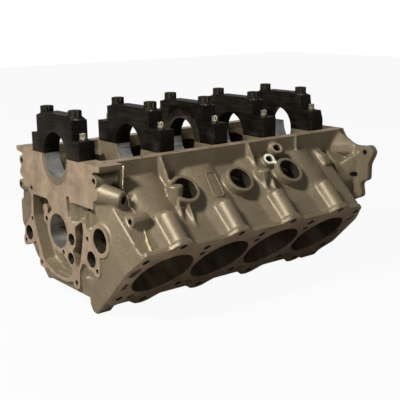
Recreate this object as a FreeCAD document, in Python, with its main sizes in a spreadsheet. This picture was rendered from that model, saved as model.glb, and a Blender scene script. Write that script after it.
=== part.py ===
import FreeCAD, Part
import math
import os
import Sketcher
from FreeCAD import Placement, Rotation, Vector

# V8 cylinder block, standing on its two head decks with the crankshaft side up, and its five main
# bearing caps. Millimetres. Origin: crankshaft axis at the middle of the centre main bearing.
# +X runs along the crankshaft to the clutch end, +Z up towards the sump face, -Y towards the
# forward bank. Bank frame: x along the crankshaft, v across the bank (+v outside, -v valley),
# w from the crankshaft axis out to the deck.

doc = FreeCAD.newDocument("engine_block")

# ---------------------------------------------------------------- driving dimensions
sheet = doc.addObject("Spreadsheet::Sheet", "Dims")


class Size:
    """A length that carries its number together with the sheet expression that gives it."""

    def __init__(self, number, text):
        self.number, self.text = number, text

    def join(self, sign, other, number):
        other_text = other.text if isinstance(other, Size) else repr(float(other))
        return Size(number, f"({self.text} {sign} {other_text})")

    def __add__(self, other):
        return self.join("+", other, self.number + plain(other))

    def __sub__(self, other):
        return self.join("-", other, self.number - plain(other))

    def __mul__(self, other):
        return self.join("*", other, self.number * plain(other))

    def __truediv__(self, other):
        return self.join("/", other, self.number / plain(other))

    def __neg__(self):
        return Size(-self.number, f"(0 - {self.text})")

    def __radd__(self, number):
        return self + number

    def __rsub__(self, number):
        return -self + number

    def __rmul__(self, number):
        return self * number


def plain(size):
    return size.number if isinstance(size, Size) else float(size)


rows = 0


def dimension(alias, number):
    """A driving dimension: one row of the sheet."""
    global rows
    rows += 1
    sheet.set(f"A{rows}", alias)
    sheet.set(f"B{rows}", str(number))
    sheet.setAlias(f"B{rows}", alias)
    return Size(float(number), f"Dims.{alias}")


pitch = dimension("bore_pitch", 124.46)
bore = dimension("cylinder_bore", 114.3)
deck = dimension("deck_height", 268)
stagger = dimension("bank_stagger", 29.6)
main_bore = dimension("main_bore", 82.2)
cam_bore = dimension("cam_bore", 63)
cam_drop = dimension("cam_drop", 136.7)
front = dimension("front_length", 294)
rear = dimension("rear_length", 318.5)
flange = dimension("flange_thickness", 14)
rail = dimension("rail_half_width", 127)
crankcase = dimension("crankcase_radius", 104)
cap_thick = dimension("cap_thickness", 31)
first_main = dimension("first_main_place", 277)
last_main = dimension("last_main_place", 258)
deck_half = dimension("deck_half_width", 80)
pad_reach = dimension("pad_reach", 81.5)
lobe_reach = dimension("lobe_reach", 88)
pad_r = dimension("pad_radius", 16.5)
plug_r = dimension("core_plug_radius", 21.5)
plug_w = dimension("core_plug_place", 162)
plug_face = dimension("core_plug_face", 88)
head_bolt = dimension("head_bolt_hole", 12)
lifter = dimension("lifter_bore", 22.2)
wide_bolt = dimension("inner_bolt", 12.7)
small_bolt = dimension("outer_bolt", 9.5)
seat_drop = dimension("cap_seat_drop", 1.5)
doc.recompute()

BANK_TURN = Rotation(Vector(1, 0, 0), 135)
BANKS = (-1, 1)


# ---------------------------------------------------------------- building blocks
def bind(thing, name, size):
    """Give a property its number, and its sheet expression where it has one."""
    path = name.split(".")
    if isinstance(size, Size):
        thing.setExpression(name, size.text)
    if len(path) == 1:
        setattr(thing, name, plain(size))


def plane_of(body, role):
    return next(f for f in body.Origin.OriginFeatures if f.Role == role)


def outline(sketch, corners):
    """A closed outline. Each corner is (p, q) or (p, q, radius) in the sketch's own axes."""
    points = [(plain(c[0]), plain(c[1])) for c in corners]
    radii = [plain(c[2]) if len(c) > 2 else 0.0 for c in corners]
    count = len(points)
    enter, leave = [], []
    for k in range(count):
        (px, py), (cx, cy), (nx, ny) = points[k - 1], points[k], points[(k + 1) % count]
        back, ahead = Vector(px - cx, py - cy), Vector(nx - cx, ny - cy)
        half = back.getAngle(ahead) / 2
        cut = radii[k] / math.tan(half) if radii[k] else 0.0
        here = Vector(cx, cy)
        enter.append(here + Vector(back).normalize() * cut if cut else here)
        leave.append(here + Vector(ahead).normalize() * cut if cut else here)
    lines = []
    for k in range(count):
        lines.append(sketch.addGeometry(Part.LineSegment(leave[k], enter[(k + 1) % count]), False))
    for k in range(count):
        before, after = lines[k - 1], lines[k]
        if not radii[k]:
            sketch.addConstraint(Sketcher.Constraint("Coincident", before, 2, after, 1))
            pin(sketch, after, 1, corners[k])
            continue
        here, reach = Vector(*points[k]), (enter[k] + leave[k]) * 0.5 - Vector(*points[k])
        half = Vector(enter[k] - here).getAngle(reach)
        centre = here + reach.normalize() * (radii[k] / math.sin(half))
        top = centre + (here - centre).normalize() * radii[k]
        left_turn = (here - enter[k]).cross(leave[k] - here).z > 0
        through = (enter[k], top, leave[k]) if left_turn else (leave[k], top, enter[k])
        arc = sketch.addGeometry(Part.Arc(*through), False)
        first = 1 if left_turn else 2
        if any(isinstance(value, Size) for value in corners[k]):
            spot = sketch.addGeometry(Part.Point(here), True)
            sketch.addConstraint([
                Sketcher.Constraint("Tangent", before, 2, arc, first),
                Sketcher.Constraint("Tangent", after, 1, arc, 3 - first),
                Sketcher.Constraint("Radius", arc, radii[k]),
                Sketcher.Constraint("PointOnObject", spot, 1, before),
                Sketcher.Constraint("PointOnObject", spot, 1, after),
            ])
            pin(sketch, spot, 1, corners[k])
        else:
            sketch.addConstraint([
                Sketcher.Constraint("Coincident", before, 2, arc, first),
                Sketcher.Constraint("Coincident", after, 1, arc, 3 - first),
                Sketcher.Constraint("Radius", arc, radii[k]),
            ])
            pin(sketch, before, 2, (enter[k].x, enter[k].y))
            pin(sketch, after, 1, (leave[k].x, leave[k].y))


def pin(sketch, geometry, end, corner):
    """Hold one point of a sketch at its place, by the sheet where the place comes from there."""
    for kind, axis, size in (("DistanceX", -2, corner[0]), ("DistanceY", -1, corner[1])):
        if abs(plain(size)) < 1e-9:
            sketch.addConstraint(Sketcher.Constraint("PointOnObject", geometry, end, axis))
            continue
        row = sketch.addConstraint(Sketcher.Constraint(kind, -1, 1, geometry, end, plain(size)))
        if isinstance(size, Size):
            sketch.setExpression(f"Constraints[{row}]", size.text)


def prism(name, role, corners, start, length):
    """A straight pad of an outline from start, along the plane's normal."""
    body = doc.addObject("PartDesign::Body", name)
    sketch = body.newObject("Sketcher::SketchObject", name + "_outline")
    sketch.AttachmentSupport = (plane_of(body, role), [""])
    sketch.MapMode = "FlatFace"
    bind(sketch, "AttachmentOffset.Base.z", start)
    sketch.AttachmentOffset = Placement(Vector(0, 0, plain(start)), Rotation())
    outline(sketch, corners)
    pad = body.newObject("PartDesign::Pad", name + "_pad")
    pad.Profile = sketch
    bind(pad, "Length", length)
    body.Tip = pad
    return body


def along_x(name, corners, start, stop):
    """A prism with its outline in (y, z), from x = start to x = stop."""
    return prism(name, "YZ_Plane", corners, start, stop - start)


def along_w(name, corners, start, stop):
    """A prism in the bank frame with its outline in (x, v), from w = start to w = stop."""
    return prism(name, "XY_Plane", corners, start, stop - start)


AXES = {"x": Rotation(Vector(0, 0, 1), Vector(1, 0, 0)), "y": Rotation(Vector(0, 0, 1), Vector(0, 1, 0)),
        "z": Rotation()}


def round_bar(name, axis, place, radius, length, top_radius=None):
    """A cylinder, or a cone where it has a top radius, from place along +axis."""
    kind = "Part::Cylinder" if top_radius is None else "Part::Cone"
    bar = doc.addObject(kind, name)
    if top_radius is None:
        bind(bar, "Radius", radius)
    else:
        bind(bar, "Radius1", radius)
        bind(bar, "Radius2", top_radius)
    bind(bar, "Height", length)
    bar.Placement = Placement(Vector(*[plain(p) for p in place]), AXES[axis])
    for letter, size in zip("xyz", place):
        if isinstance(size, Size):
            bar.setExpression(f"Placement.Base.{letter}", size.text)
    return bar


def fused(name, pieces):
    joined = doc.addObject("Part::MultiFuse", name)
    joined.Shapes, joined.Refine = pieces, False
    return joined


def stacked(name, groups):
    """Joins group after group onto the first, which keeps each join small."""
    whole = []
    for n, group in enumerate(groups):
        last = n == len(groups) - 1
        whole = [fused(name if last else f"{name}_stage_{n + 1}", whole + group)]
    return whole[0]


def less(name, base, tool):
    cut = doc.addObject("Part::Cut", name)
    cut.Base, cut.Tool, cut.Refine = base, tool, True
    return cut


def both_banks(name, groups):
    """The bank's pieces turned out to the forward bank, and mirrored to the other one."""
    forms = stacked(name, groups)
    forms.Placement = Placement(Vector(0, 0, 0), BANK_TURN)
    mirror = doc.addObject("Part::Mirroring", name + "_mirror")
    mirror.Source, mirror.Normal = forms, Vector(0, 1, 0)
    placed = []
    for bank, source in zip(BANKS, (forms, mirror)):
        side = doc.addObject("Part::Compound", f"{name}_{'forward' if bank < 0 else 'rearward'}")
        side.Links = [source]
        side.Placement = Placement(Vector(bank * plain(stagger) / 2, 0, 0), Rotation())
        side.setExpression("Placement.Base.x", (stagger * (bank / 2)).text)
        placed.append(side)
    return placed


CYLINDERS = [pitch * (k - 1.5) for k in range(4)]
GAPS = [pitch * (k - 2) for k in range(5)]
MAINS = [-first_main, -pitch, pitch * 0, pitch, last_main]


# ---------------------------------------------------------------- bank: what the casting adds
def bank_walls():
    """Bank body: its cross-section run along the engine, kept to the deck's plan outline."""
    section = along_x("bank_section", [
        (64, 88), (64, 108, 20), (deck_half - 5, deck), (-deck_half, deck), (-73, 150), (-73, 50), (20, 50),
    ], -282, 290)
    plan = along_w("bank_plan", [
        (-277, 30, 30), (-259, deck_half + 4), (251, deck_half + 4, 20), (278, 30, 40), (278, -56, 12),
        (256, -deck_half - 2), (-250, -deck_half - 2), (-275, -50, 20),
    ], 40, deck)
    common = doc.addObject("Part::MultiCommon", "bank_body")
    common.Shapes = [section, plan]
    return common


def barrels():
    """The four cylinder barrels bulge through the outer wall, and stop short of the valley one."""
    return [round_bar(f"barrel_{k + 1}", "z", (x, 0, 114), 75.5, deck - 114, deck_half + 3)
            for k, x in enumerate(CYLINDERS)]


def deck_rim():
    """The deck's edge stands proud of the walls as one thin rim, level with the pads."""
    return along_w("deck_rim", [
        (-259, deck_half + 4), (251, deck_half + 4, 20), (278, 30, 40), (278, -56, 12),
        (256, -deck_half - 2), (-250, -deck_half - 2), (-275, -50, 20), (-277, 30, 30),
    ], deck - 8, deck)


def outer_pads():
    """Upright round pads for the outer head bolts, each with a sloped top and a web to the wall."""
    pieces = []
    for k, x in enumerate(CYLINDERS):
        pieces.append(round_bar(f"outer_pad_{k + 1}", "z", (x, pad_reach, 203), pad_r, deck - 203))
        pieces.append(round_bar(f"outer_pad_top_{k + 1}", "z", (x, pad_reach - 4, 194), 9, 9, pad_r))
        pieces.append(along_w(f"outer_pad_web_{k + 1}", [
            (x - pad_r - 3, 60), (x + pad_r, 60), (x + pad_r, pad_reach), (x - pad_r - 3, pad_reach - 4),
        ], 201, deck))
    return pieces


def outer_flares():
    """The deck's rim swells round each outer pad."""
    return [along_w(f"outer_flare_{k + 1}", [
        (x - 40, 74), (x + 40, 74), (x + 12, 98, 9), (x - 12, 98, 9),
    ], deck - 8, deck) for k, x in enumerate(CYLINDERS)]


def inner_lobes():
    """Short lobes for the inner head bolts, swelling from the valley wall."""
    pieces = []
    for k, x in enumerate(CYLINDERS):
        pieces.append(round_bar(f"inner_lobe_{k + 1}", "z", (x, -lobe_reach, 222), 15, deck - 222))
        pieces.append(along_w(f"inner_flare_{k + 1}", [
            (x - 42, -74), (x - 12, -101, 9), (x + 12, -101, 9), (x + 42, -74),
        ], 246, deck))
    return pieces


def plug_bosses():
    """Round bosses for the core plugs, between neighbouring cylinders."""
    return [round_bar(f"plug_boss_{k}", "y", (GAPS[k], 45, plug_w), plug_r + 7, plug_face - 45)
            for k in (1, 2, 3)]


def jacket():
    """Coolant space behind the core plugs: a slab of the bank less the barrels' own walls."""
    slab = along_x("jacket_slab", [(64, 128), (66, 190), (-66, 190), (-64, 128)], GAPS[1] - 34, GAPS[3] + 34)
    walls = [round_bar(f"jacket_barrel_{k + 1}", "z", (x, 0, 120), bore / 2 + 7, 80)
             for k, x in enumerate(CYLINDERS)]
    return less("jacket_core", slab, fused("jacket_barrels", walls))


def lifter_bosses():
    """Two lifter bosses beside each cylinder, standing on the camshaft tunnel."""
    pieces = []
    for k, x in enumerate(CYLINDERS):
        for n, offset in enumerate((-23, 23)):
            pieces.append(round_bar(f"lifter_boss_{k + 1}_{n + 1}", "z",
                                    (x + offset, -cam_drop * math.sqrt(0.5), 105), 16.5, 80))
    return pieces


# ---------------------------------------------------------------- bank: what cores and cutters take
def cylinder_bores():
    pieces = []
    for k, x in enumerate(CYLINDERS):
        pieces.append(round_bar(f"cylinder_{k + 1}", "z", (x, 0, 84), bore / 2, deck - 83))
        pieces.append(round_bar(f"cylinder_edge_{k + 1}", "z", (x, 0, deck - 1), bore / 2, 1.2, bore / 2 + 1.2))
    return pieces


def plug_holes():
    return [round_bar(f"plug_hole_{k}", "y", (GAPS[k], 40, plug_w), plug_r, plug_face - 38)
            for k in (1, 2, 3)]


def head_bolt_holes():
    """Ten bolts round each pair of cylinders: outer pads, inner lobes and both rows of gaps."""
    spots = [(x, 86) for x in CYLINDERS] + [(x, -lobe_reach) for x in CYLINDERS]
    spots += [(x, 62) for x in GAPS[1:4]] + [(x, -60) for x in GAPS]
    spots += [(GAPS[0], 60), (GAPS[4], 62)]
    return [round_bar(f"head_bolt_hole_{n + 1}", "z", (x, v, deck - 45), head_bolt / 2, 46)
            for n, (x, v) in enumerate(spots)]


def water_holes():
    """Coolant passages through the deck."""
    pieces = [round_bar(f"gap_water_{k}", "z", (GAPS[k], 42.5, deck - 22), 5, 23) for k in (1, 2, 3)]
    for k, x in enumerate(CYLINDERS):
        pieces.append(along_w(f"valley_water_{k + 1}", [
            (x - 45, -56), (x - 39, -56), (x - 24, -67), (x - 26, -70), (x - 40, -70), (x - 47, -62),
        ], deck - 22, deck + 1))
    for n, (x, v) in enumerate(((-256, 28), (252, 34))):
        pieces.append(along_w(f"end_kidney_{n + 1}", [
            (x - 9, v - 13, 5), (x + 3, v - 13, 5), (x + 11, v + 10, 4), (x + 4, v + 15, 4), (x - 9, v + 4, 5),
        ], deck - 25, deck + 1))
        pieces.append(along_w(f"end_slot_{n + 1}", [
            (x - 6, -28, 5), (x + 6, -28, 5), (x + 4, -6, 3), (x - 4, -6, 3),
        ], deck - 25, deck + 1))
    return pieces


def lifter_bores():
    pieces = []
    for k, x in enumerate(CYLINDERS):
        for n, offset in enumerate((-23, 23)):
            pieces.append(round_bar(f"lifter_bore_{k + 1}_{n + 1}", "z",
                                    (x + offset, -cam_drop * math.sqrt(0.5), 98), lifter / 2, 90))
    return pieces


# ---------------------------------------------------------------- centre: what the casting adds
def crankcase_forms():
    half = [(rail, 0), (rail, -38), (95, -72), (74, -112)]
    mirrored = [(-y, z) for y, z in reversed(half)]
    return [
        along_x("crankcase", half + mirrored, -(front - 12), rear - flange),
        along_x("cam_gallery", [
            (-74, -90), (-88, -165), (-62, -190), (-26, -180), (26, -180), (62, -190), (88, -165), (74, -90),
        ], -268, 290),
        round_bar("cam_boss", "x", (-front, 0, -cam_drop), 41, 40),
        along_x("front_saddle_boss", [
            (-45, 0), (-58, -45, 20), (-50, -80, 25), (50, -80, 25), (58, -45, 20), (45, 0),
        ], -front, -260),
    ]


def at_front(corners):
    """Corners of the front face, given as seen from the front: (right, up) becomes (-y, z)."""
    return [(-corner[0],) + tuple(corner[1:]) for corner in corners]


def front_forms():
    """Timing chest rail, water pump ports, the walls that close the valley, and the front feet."""
    pieces = [along_x("front_plate", at_front([
        (-98, -84), (-84, -66, 8), (-50, -56), (50, -56), (80, -58), (98, -62), (98, -117, 5), (122, -114),
        (136, -125), (138, -160), (138, -180), (136, -191, 6), (124, -191, 6), (112, -184, 10),
        (100, -184), (82, -176, 6), (70, -196), (68, -231, 9), (48, -231, 9), (44, -220), (22, -228, 30),
        (-22, -228, 30), (-52, -219), (-63, -223), (-81, -221, 6), (-82, -186), (-90, -176), (-98, -177),
        (-104, -184), (-122, -187), (-130, -192), (-142, -192, 6), (-142, -178, 6), (-136, -168),
        (-126, -147), (-105, -126),
    ]), -front, -262)]
    for name, right, up, radius, back in (
        ("near_outlet", 142, -125, 28.5, 30), ("near_port", 112, -164, 20, 30),
        ("far_port", -117, -164, 19, 60), ("far_lug", -133, -182, 9.5, 60),
        ("far_rail_lug", -101, -133, 8, 30), ("pan_corner_far", -97, -74, 12, 30),
    ):
        pieces.append(round_bar(name, "x", (-front, -right, up), radius, back))
    pieces.append(along_x("front_china_wall", [(-105, -150), (-105, -240), (62, -240), (62, -150)], -288, -262))
    pieces.append(along_x("rear_china_wall", [(-105, -150), (-105, -236), (105, -236), (105, -150)], 222, 246))
    for bank in BANKS:
        side = "near" if bank < 0 else "far"
        shift = stagger.number if bank > 0 else 0
        for end, start, thick in (("front", -291.5, 30), ("rear", 202, 42)):
            pieces.append(along_x(f"{side}_{end}_foot", [
                (bank * 95, -180), (bank * 95, -250, 8), (bank * 105, -262, 6), (bank * 116, -262.8),
                (bank * 165, -214), (bank * 120, -180),
            ], start + shift, start + shift + thick))
    return pieces


def front_corners():
    """What stands on the front outer corner of each bank: rail ear, oil tube, lug and hole boss."""
    pieces = []
    for bank in BANKS:
        side = "near" if bank < 0 else "far"
        pieces.append(along_x(f"{side}_rail_ear", [
            (bank * 110, 0), (bank * 150, 0), (bank * 150, -9, 3), (bank * 110, -13),
        ], -front, -248))
        pieces.append(round_bar(f"{side}_ear_tube", "x", (-front, bank * 131, -26), 9.5, 44))
        pieces.append(along_x(f"{side}_ear_rib", [
            (bank * 120, 0), (bank * 152, 0), (bank * 146, -44), (bank * 120, -60),
        ], -253, -248))
        lug = [(-262, 108), (-262, 172, 12), (-291, 122, 30), (-291, 100)]
        plan = prism(f"{side}_lug_plan", "XY_Plane", [(x, bank * y) + tuple(r) for x, y, *r in lug], -76, 38)
        rod = round_bar(f"{side}_lug_form", "y", (-280, bank * 90 if bank > 0 else -185, -56), 21, 95)
        form = doc.addObject("Part::MultiCommon", f"{side}_lug")
        form.Shapes = [plan, rod]
        pieces.append(form)
        pieces.append(round_bar(f"{side}_hole_boss", "x", (-266, bank * 189, -88), 11, 29))
        pieces.append(along_x(f"{side}_hole_boss_foot", [
            (bank * 160, -80), (bank * 184, -78), (bank * 201, -88, 6), (bank * 206, -120, 4), (bank * 190, -130),
            (bank * 160, -110),
        ], -261, -239))
    return pieces


def mount_columns():
    """Engine mount columns on each outer wall, with their ribs to the wall and to the sump rail."""
    pieces = []
    for bank in BANKS:
        side = "near" if bank < 0 else "far"
        shift = stagger.number if bank > 0 else 0
        for n, place in enumerate((-157.5, 45)):
            x, y = place + shift, bank * 170
            column = f"{side}_column_{n + 1}"
            pieces.append(round_bar(column, "z", (x, y, -110), 8, 65, 15))
            pieces.append(along_x(column + "_rail_rib", [
                (bank * 120, 0), (bank * 128, 0), (bank * 158, -50), (bank * 150, -80), (bank * 120, -60),
            ], x - 2, x + 3))
            for rib, offset, low in (("foot", -6, 100), ("web", 12, 114)):
                pieces.append(along_x(f"{column}_{rib}", [
                    (bank * 150, -52), (bank * 181, -56), (bank * (low + 103), -low), (bank * (low + 90), -low),
                    (bank * 150, -80),
                ], x + offset - 2.5, x + offset + 2.5))
    return pieces


def wall_bosses():
    """Small bosses on the forward bank's outer wall: a machined teardrop, a tapped boss, ribs."""
    pieces = []
    for bank in BANKS:
        side = "near" if bank < 0 else "far"
        shift = stagger.number if bank > 0 else 0
        pieces.append(along_x(f"{side}_thin_rib", [
            (bank * 120, 0), (bank * 131, -1), (bank * 131, -34), (bank * 120, -40),
        ], 171 + shift, 174 + shift))
        pieces.append(along_x(f"{side}_wedge", [
            (bank * 120, -30), (bank * 152, -44), (bank * 164, -60), (bank * 120, -80),
        ], 222 + shift, 240 + shift))
        turned = Rotation(Vector(0, 0, 1), Vector(-0.15, bank * 0.72, 0.68))
        for name, place, radius, length in (
            (f"{side}_teardrop", (89 + shift, bank * 109.7, -69.7), 13, 56),
            (f"{side}_tapped_boss", (117 + shift, bank * 108.3, -45), 13, 44),
        ):
            bar = round_bar(name, "z", place, radius, length)
            bar.Placement = Placement(Vector(*place), turned)
            pieces.append(bar)
    return pieces


def rear_forms():
    """Clutch housing flange with its scalloped ears, and the bell that carries it."""
    half = [(118, 0), (132, -18, 30), (160, -31, 40), (185, -29.5, 20), (203, -26, 10), (216, -38, 12),
            (201, -66, 25), (201, -97, 6), (182, -106, 8), (187, -134, 8), (160, -146), (120, -190), (60, -205)]
    full = half + [(-corner[0],) + tuple(corner[1:]) for corner in reversed(half)]
    pieces = [along_x("clutch_flange", full, rear - flange, rear)]
    bell = [(rail, 0), (rail, -40), (150, -62), (168, -100), (150, -140), (110, -180), (60, -200)]
    full_bell = bell + [(-y, z) for y, z in reversed(bell)]
    pieces.append(along_x("bell", full_bell, 262, rear - flange))
    return pieces


# ---------------------------------------------------------------- centre: what cores and cutters take
def centre_cuts():
    pieces = [round_bar("main_line", "x", (-front - 1, 0, 0), main_bore / 2, front + rear + 2),
              round_bar("cam_line", "x", (-front - 1, 0, -cam_drop), cam_bore / 2, front + rear + 2),
              round_bar("seal_bore", "x", (last_main + cap_thick / 2, 0, 0), 58, 50)]
    for k in range(4):
        start, stop = MAINS[k] + cap_thick / 2, MAINS[k + 1] - cap_thick / 2
        pieces.append(along_x(f"crank_chamber_{k + 1}", [
            (-crankcase, 1), (-crankcase, -20, 30), (-84, -84, 40), (0, -112, 60), (84, -84, 40),
            (crankcase, -20, 30), (crankcase, 1),
        ], start, stop))
    recess = along_x("timing_hollow", at_front([
        (-93, -84, 5), (-38, -84), (-20, -100), (0, -140), (12, -176), (30, -190), (44, -196, 4), (42, -211, 6),
        (20, -221, 25), (-20, -221, 25), (-62, -206, 6), (-78, -170), (-95, -128),
    ]), -front - 1, -268)
    islands = [round_bar(f"recess_boss_{n + 1}", "x", (-front - 2, -right, up), radius, 40)
               for n, (right, up, radius) in enumerate(((0, -cam_drop, 41), (-43, -122, 11), (-46, -104, 9)))]
    pieces.append(less("timing_recess", recess, fused("recess_bosses", islands)))
    pieces.append(along_x("oil_hollow", at_front([
        (60, -118, 5), (88, -101, 4), (88, -122, 8), (84, -142, 8), (78, -165, 10), (71, -188, 5), (57, -190, 4),
        (54, -174), (48, -163, 4), (57, -155), (62, -142),
    ]), -front - 1, -270))
    for name, corners, depth in (
        ("near_pocket", [(80, -206), (82, -180, 6), (95, -177, 6), (99, -188), (113, -192), (112, -207, 6)], 12),
        ("outlet_pocket", [(100, -64), (100, -115, 5), (114, -115, 6), (130, -98, 10), (124, -80), (110, -62)], 10),
        ("oil_recess", [(34, -66), (96, -66, 4), (96, -112), (86, -99, 4), (58, -114, 8), (40, -106, 6)], 9),
        ("saddle_hollow", [(64, -44, 5), (60, -57, 4), (76, -58, 5), (90, -50, 4), (84, -43, 3)], 18),
    ):
        pieces.append(along_x(name, at_front(corners), -front - 1, -front + depth))
    for name, right, up, radius, depth in (
        ("near_outlet_hole", 142, -125, 20.5, 44), ("near_port_hole", 112, -164, 13.5, 44),
        ("far_port_hole", -117, -164, 13.5, 44), ("near_lug_hole", 130, -181, 3.5, 20),
        ("far_lug_hole", -133, -182, 3.5, 20), ("chest_hole_1", 101, -130, 3.5, 20),
        ("chest_hole_2", 98, -80, 3.5, 20), ("chest_hole_3", 57, -220, 4, 20),
        ("chest_hole_4", -72, -212, 3.5, 20), ("chest_hole_5", -101, -133, 3.5, 20),
        ("chest_hole_6", -97, -74, 3.5, 20), ("cam_plate_hole_1", 46, -143, 10, 12),
        ("cam_plate_hole_2", 41, -179, 10, 12), ("cam_plate_hole_3", -43, -122, 4, 20),
        ("cam_plate_hole_4", 15, -173, 3.5, 20), ("cam_oil_1", 46, -143, 5.5, 30), ("cam_oil_2", 41, -179, 5.5, 30),
    ):
        pieces.append(round_bar(name, "x", (-front - 1, -right, up), radius, depth))
    for bank in BANKS:
        side = "near" if bank < 0 else "far"
        for name, x, y, z, radius, depth in (
            ("ear_tube_hole", -front - 1, 131, -26, 4.5, 20), ("lug_hole", -292, 157, -56, 7.5, 60),
            ("hole_boss_hole", -267, 189, -88, 6, 18),
        ):
            pieces.append(round_bar(f"{side}_{name}", "x", (x, bank * y, z), radius, depth))
        for n, place in enumerate((-157.5, 45)):
            shift = stagger.number if bank > 0 else 0
            pieces.append(round_bar(f"{side}_column_hole_{n + 1}", "z", (place + shift, bank * 170, -70), 5.5, 30))
        shift = stagger.number if bank > 0 else 0
        turned = Rotation(Vector(0, 0, 1), Vector(-0.15, bank * 0.72, 0.68))
        for name, place, radius in ((f"{side}_teardrop_hole", (89 + shift, bank * 109.7, -69.7), 6),
                                    (f"{side}_tapped_hole", (117 + shift, bank * 108.3, -45), 7)):
            hole = round_bar(name, "z", place, radius, 70)
            hole.Placement = Placement(Vector(*place) + Vector(-0.15, bank * 0.72, 0.68) * 20, turned)
            pieces.append(hole)
    return pieces


def recess_forms():
    """What stands inside the front recesses: a crescent ledge and the two cast oil tubes."""
    ledge = along_x("chest_ledge", at_front([
        (-25, -205), (0, -209), (38, -203), (44, -212), (20, -222), (-20, -222),
    ]), -284, -266)
    tubes = [round_bar(name, "z", (-front + 10, -right, bottom), radius, -64 - bottom)
             for name, right, bottom, radius in (("oil_tube", 50, -114, 9), ("oil_tube_small", 74, -104, 6))]
    return [ledge] + tubes


def cam_windows():
    """Between the bulkheads the camshaft runs in the open, above a cored slot."""
    pieces = []
    for k in range(4):
        start, stop = MAINS[k] + cap_thick / 2 + 6, MAINS[k + 1] - cap_thick / 2 - 6
        pieces.append(round_bar(f"cam_window_{k + 1}", "x", (start, 0, -cam_drop), 36, stop - start))
    return pieces


def rail_holes():
    """Sump bolt holes along both rails."""
    pieces = []
    for bank in BANKS:
        for n in range(8):
            pieces.append(round_bar(f"sump_hole_{'near' if bank < 0 else 'far'}_{n + 1}", "z",
                                    (-262 + 76 * n, bank * 116, -18), 4, 19))
    return pieces


def cap_registers():
    """The caps sit in shallow registers milled across the bulkheads, a little below the sump rail."""
    pieces = []
    for number, place in enumerate(MAINS, start=1):
        reach = cap_shape(number)[0][0][0] + 0.5
        pieces.append(along_x(f"cap_register_{number}", [
            (-reach, -seat_drop), (reach, -seat_drop), (reach, 6), (-reach, 6),
        ], place - cap_thick / 2 - (20 if number == 1 else 0.5), place + cap_thick / 2 + 0.5))
    return pieces


def cap_bolt_holes():
    pieces = []
    for number, place in enumerate(MAINS, start=1):
        for bank in BANKS:
            for kind, (y, size, depth) in bolt_rows(number).items():
                pieces.append(round_bar(f"{kind}_thread_{number}_{'n' if bank < 0 else 'f'}", "z",
                                        (place, bank * y, -depth), size / 2 + 0.25, depth + 1))
    return pieces


# ---------------------------------------------------------------- main bearing caps and their bolts
def bolt_rows(number):
    """Inner and outer bolts of one cap: distance from the centre line, thread size, depth."""
    outer = 74 if number == 1 else 86
    return {"inner": (50 if number == 1 else 54, wide_bolt, 42), "outer": (outer, small_bolt, 28)}


def cap_shape(number):
    """Half outlines of the caps: the first is narrow, the last has rounded shoulders."""
    if number == 1:
        return [(85, -seat_drop), (85, 33), (63, 33), (63, 66), (40, 73)], 66, 33
    if number == 5:
        return [(104, -seat_drop), (104, 22, 20), (98, 40), (72, 40), (68, 69), (42, 74)], 69, 40
    return [(104, -seat_drop), (104, 39), (69, 39), (69, 69), (42, 74)], 69, 39


def main_cap(number, place):
    half, _, _ = cap_shape(number)
    full = half + [(-c[0],) + tuple(c[1:]) for c in reversed(half)]
    start, stop = place - cap_thick / 2, place + cap_thick / 2
    blank = along_x(f"cap_blank_{number}", full, start, stop)
    tools = [round_bar(f"cap_bore_{number}", "x", (start - 1, 0, 0), main_bore / 2, cap_thick + 2)]
    for bank in BANKS:
        for kind, (y, size, _) in bolt_rows(number).items():
            tools.append(round_bar(f"cap_{kind}_hole_{number}_{'n' if bank < 0 else 'f'}", "z",
                                   (place, bank * y, -5), size / 2 + 0.25, 95))
    cap = less(f"main_cap_{number}", blank, fused(f"cap_cuts_{number}", tools))
    return cap


def cap_bolts(number, place):
    """One cap's bolts: two stout inner ones and two outer ones, each with its washer."""
    _, inner_seat, outer_seat = cap_shape(number)
    rows_here = bolt_rows(number)
    made = []
    for kind, seat, head_r, head_h in (("inner", inner_seat, 12.2, 14), ("outer", outer_seat, 6.2, 10)):
        y, size, depth = rows_here[kind]
        pieces = []
        for bank in BANKS:
            tag = f"{number}_{'n' if bank < 0 else 'f'}"
            pieces.append(round_bar(f"{kind}_shank_{tag}", "z", (place, bank * y, -depth + 2), size / 2,
                                    depth - 2 + seat + 2.5))
            pieces.append(round_bar(f"{kind}_head_{tag}", "z", (place, bank * y, seat + 2.5), head_r, head_h))
        made.append(fused(f"{kind}_bolts_{number}", pieces))
        rings = []
        for bank in BANKS:
            tag = f"{number}_{'n' if bank < 0 else 'f'}"
            disc = round_bar(f"{kind}_washer_disc_{tag}", "z", (place, bank * y, seat), head_r + 1, 2.5)
            hole = round_bar(f"{kind}_washer_hole_{tag}", "z", (place, bank * y, seat - 1), size / 2 + 0.25, 5)
            rings.append(less(f"{kind}_washer_{tag}", disc, hole))
        made.append(fused(f"{kind}_washers_{number}", rings))
    return made


# ---------------------------------------------------------------- assemble
def casting():
    forward, rearward = both_banks("bank_forms", [
        [bank_walls(), deck_rim()] + barrels(), outer_pads(), outer_flares(), inner_lobes(), plug_bosses(),
    ])
    added = stacked("casting_forms", [
        [forward] + crankcase_forms(), [rearward], both_banks("lifter_forms", [lifter_bosses()]), front_forms(),
        front_corners(), mount_columns(), wall_bosses(), rear_forms(),
    ])
    cores = both_banks("bank_cores", [cylinder_bores() + [jacket()]])
    holes = both_banks("bank_holes", [plug_holes() + head_bolt_holes() + water_holes() + lifter_bores()])
    casting = added
    for n, taken in enumerate((centre_cuts() + cam_windows(), cores, holes, rail_holes() + cap_registers(),
                               cap_bolt_holes())):
        casting = less(f"casting_cut_{n + 1}", casting, fused(f"casting_tools_{n + 1}", taken))
    return fused("block_casting", [casting] + recess_forms())


nodes = [casting()]
for number, place in enumerate(MAINS, start=1):
    nodes.append(main_cap(number, place))
    nodes += cap_bolts(number, place)
doc.recompute()

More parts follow.
